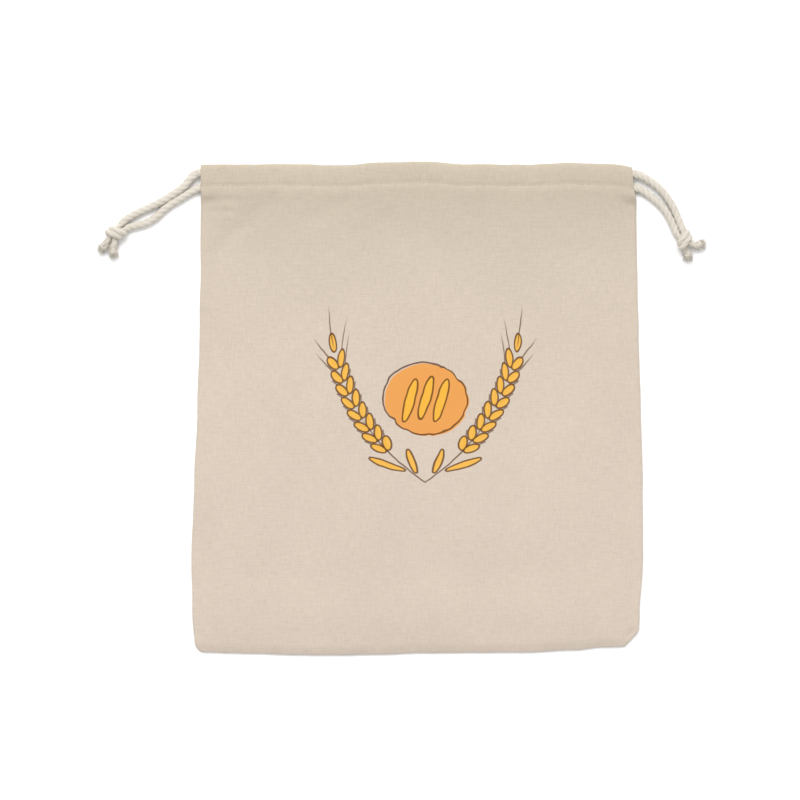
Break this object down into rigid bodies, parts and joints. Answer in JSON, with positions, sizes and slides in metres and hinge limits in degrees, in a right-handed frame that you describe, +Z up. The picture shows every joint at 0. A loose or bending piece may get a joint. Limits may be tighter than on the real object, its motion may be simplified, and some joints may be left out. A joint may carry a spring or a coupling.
{
  "type": "linen drawstring bread bag",
  "caption": "Flat fabric pouch with a cord casing along its mouth and soft drawcords knotted at both sides.",
  "frame": {"origin": "middle of the bag's underside, on the surface it lies on", "axes": "+X across the bag, +Y along its depth towards the mouth, +Z up from the surface"},
  "size_m": [0.3751, 0.308, 0.0101],
  "materials": {
    "linen_cloth": "plain-woven undyed linen, matt",
    "cotton_cord": "soft twisted cotton cord, matt"
  },
  "bodies": {
    "root": {"front_panel": "linen_cloth", "back_panel": "linen_cloth", "cord_front": "cotton_cord", "cord_back": "cotton_cord", "knot_left": "cotton_cord", "knot_right": "cotton_cord"}
  },
  "joints": []
}
